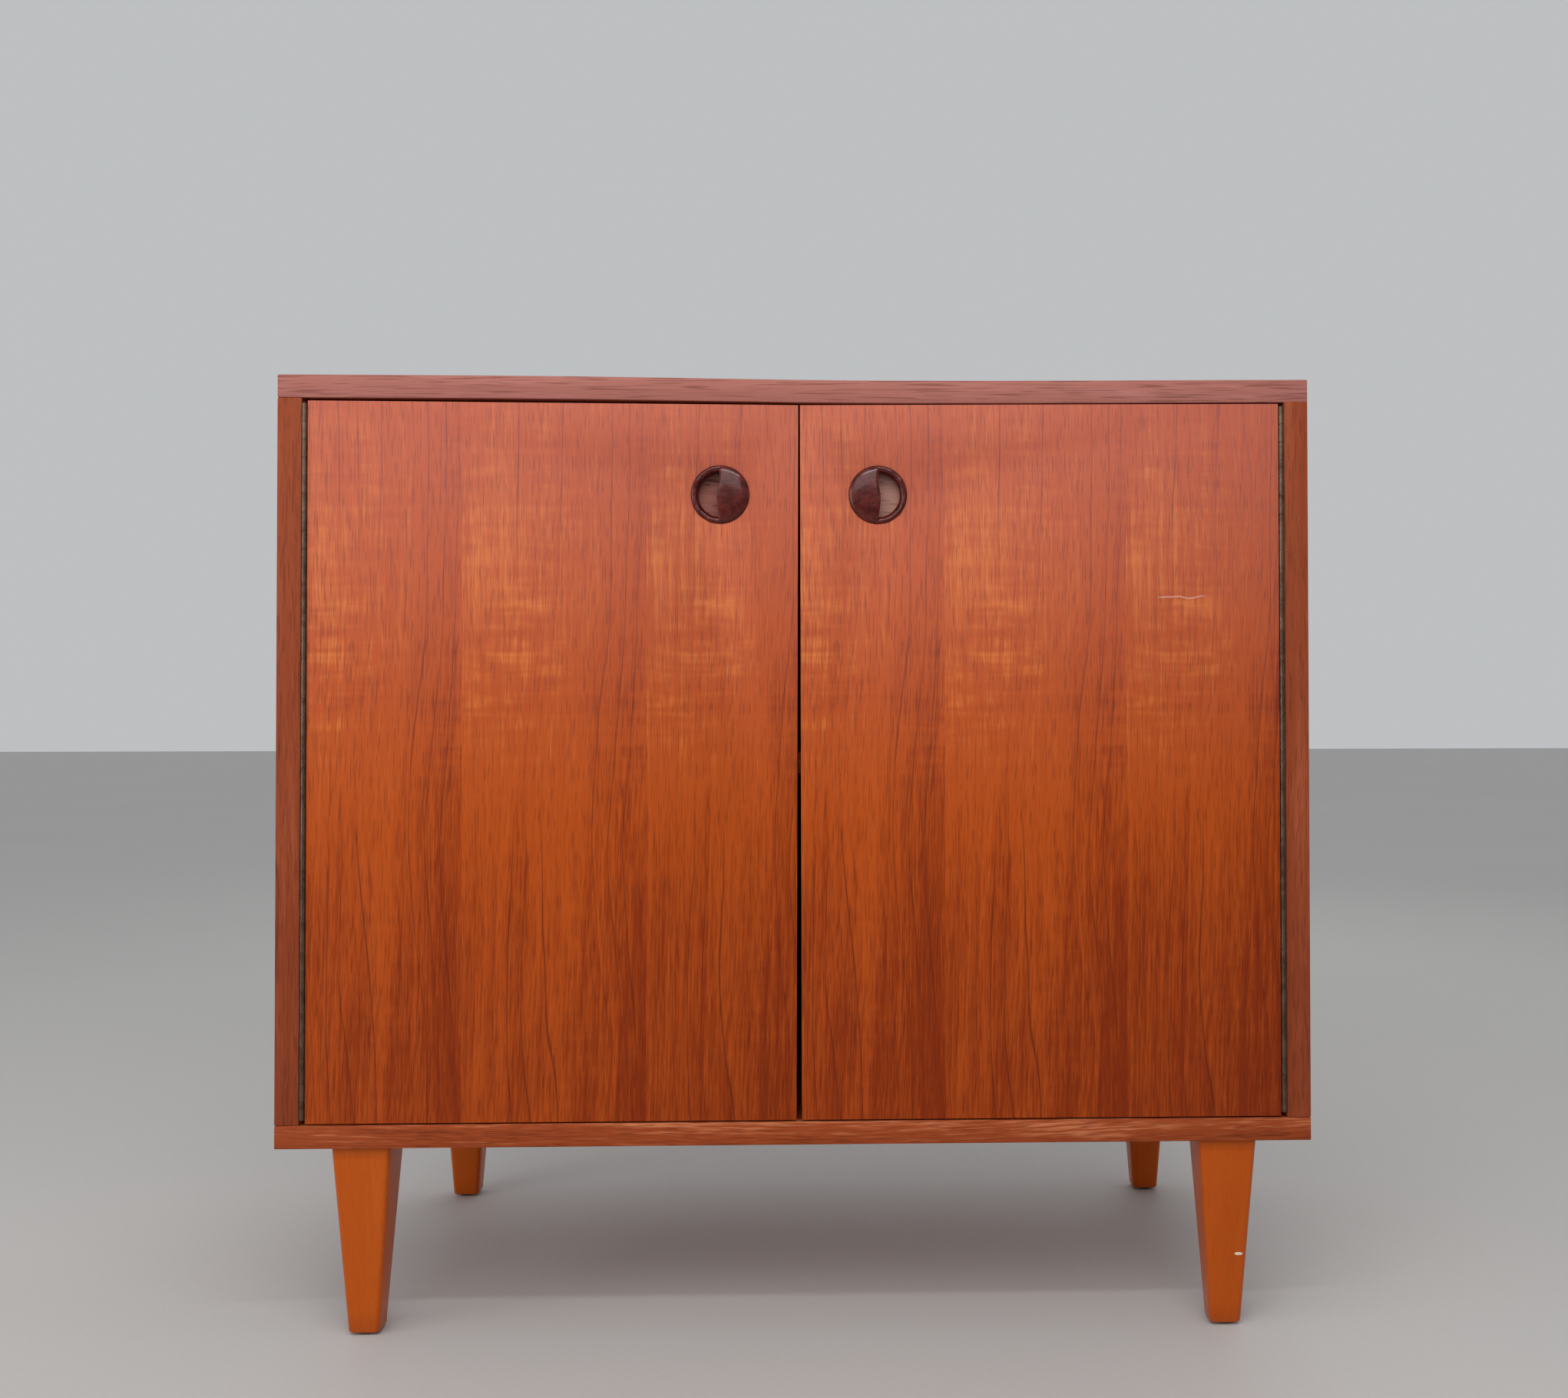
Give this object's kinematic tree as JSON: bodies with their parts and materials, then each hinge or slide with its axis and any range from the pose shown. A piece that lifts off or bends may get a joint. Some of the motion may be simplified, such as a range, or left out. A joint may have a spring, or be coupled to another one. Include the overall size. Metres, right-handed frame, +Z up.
{
  "type": "sewing table",
  "caption": "Low veneered sewing cabinet on tapered legs with a pair of hinged doors with round finger pulls, a top flap and a lifting machine platform.",
  "frame": {"origin": "on the floor, below the middle of the cabinet's outer box", "axes": "+X to the cabinet's right seen from the front, +Y to the back, +Z up; the doors face -Y"},
  "size_m": [0.85, 0.435, 0.7923],
  "materials": {
    "teak_veneer": "oiled teak veneer, satin, fine straight grain",
    "door_veneer": "slip-matched teak veneer, satin, warm orange brown",
    "top_lipping": "solid teak strip, pinkish brown, open pores",
    "edge_lipping": "solid teak strip, satin",
    "leg_wood": "stained and lacquered hardwood, satin",
    "back_board": "hardboard, matt brown",
    "beech": "plain beech, lightly oiled",
    "platform_veneer": "teak veneered board, satin",
    "pull_wood": "moulded dark red-brown resin, glossy, slightly uneven",
    "hinge_bronze": "aged bronzed continuous hinge",
    "plain_steel": "zinc plated steel",
    "bright_screws": "zinc plated wood screws",
    "lift_steel": "dark painted flat steel",
    "glide_plastic": "black nylon glide",
    "catch_plastic": "brown plastic catch body with a magnet"
  },
  "bodies": {
    "cabinet": {"top_panel": "teak_veneer", "bottom_panel": "teak_veneer", "left_side_panel": "teak_veneer", "right_side_panel": "teak_veneer", "back_panel": "back_board", "back_panel_screws": "bright_screws", "top_lipping": "top_lipping", "bottom_lipping": "edge_lipping", "left_side_lipping": "edge_lipping", "right_side_lipping": "edge_lipping", "carcass_dowels": "beech", "front_left_leg": "leg_wood", "front_right_leg": "leg_wood", "rear_left_leg": "leg_wood", "rear_right_leg": "leg_wood", "leg_hanger_bolts": "plain_steel", "leg_inserts": "plain_steel", "leg_glides": "glide_plastic", "flap_battens": "beech", "platform_cleats": "beech", "cabinet_screws": "bright_screws", "door_catches": "catch_plastic", "left_hinge_frame_leaf": "hinge_bronze", "right_hinge_frame_leaf": "hinge_bronze", "left_hinge_pin": "plain_steel", "right_hinge_pin": "plain_steel", "left_hinge_frame_screws": "bright_screws", "right_hinge_frame_screws": "bright_screws", "flap_hinge_top_leaf": "hinge_bronze", "flap_hinge_pin": "plain_steel", "flap_hinge_top_screws": "bright_screws", "lift_pivot_brackets": "lift_steel", "lift_pivot_pins": "plain_steel"},
    "left_door": {"left_door": "door_veneer", "left_finger_pull": "pull_wood", "left_hinge_door_leaf": "hinge_bronze", "left_hinge_door_screws": "bright_screws", "left_catch_plate": "plain_steel", "left_pull_screw": "bright_screws", "thread_rack": "beech", "thread_pegs": "beech"},
    "right_door": {"right_door": "door_veneer", "right_finger_pull": "pull_wood", "right_hinge_door_leaf": "hinge_bronze", "right_hinge_door_screws": "bright_screws", "right_catch_plate": "plain_steel", "right_pull_screw": "bright_screws", "door_tray": "beech"},
    "flap": {"top_flap": "teak_veneer", "flap_hinge_leaf": "hinge_bronze", "flap_hinge_screws": "bright_screws"},
    "front_arms": {"front_lift_arms": "lift_steel"},
    "rear_arms": {"rear_lift_arms": "lift_steel"},
    "platform": {"lift_platform": "platform_veneer", "platform_end_plates": "lift_steel", "platform_plate_screws": "bright_screws", "platform_pivot_pins": "plain_steel"}
  },
  "joints": [
    {"name": "left_door_hinge", "type": "hinge", "parent": "cabinet", "child": "left_door", "pos_m": [-0.4025, -0.2125, 0.474], "axis": [0, 0, -1], "range_deg": [0, 175]},
    {"name": "right_door_hinge", "type": "hinge", "parent": "cabinet", "child": "right_door", "pos_m": [0.4025, -0.2125, 0.474], "axis": [0, 0, 1], "range_deg": [0, 175]},
    {"name": "flap_hinge", "type": "hinge", "parent": "cabinet", "child": "flap", "pos_m": [0, 0.09, 0.79], "axis": [-1, 0, 0], "range_deg": [0, 175]},
    {"name": "lift_front_arms", "type": "hinge", "parent": "cabinet", "child": "front_arms", "pos_m": [0, -0.1665, 0.61491], "axis": [1, 0, 0], "range_deg": [0, 100]},
    {"name": "lift_rear_arms", "type": "hinge", "parent": "cabinet", "child": "rear_arms", "pos_m": [0, 0.0155, 0.61491], "axis": [1, 0, 0], "range_deg": [0, 100]},
    {"name": "platform_pivot", "type": "hinge", "parent": "front_arms", "child": "platform", "pos_m": [0, -0.07008, 0.5], "axis": [1, 0, 0], "range_deg": [-100, 0]}
  ],
  "couplings": [
    {"joint": "lift_rear_arms", "follows": "lift_front_arms", "ratio": 1},
    {"joint": "platform_pivot", "follows": "lift_front_arms", "ratio": -1}
  ]
}
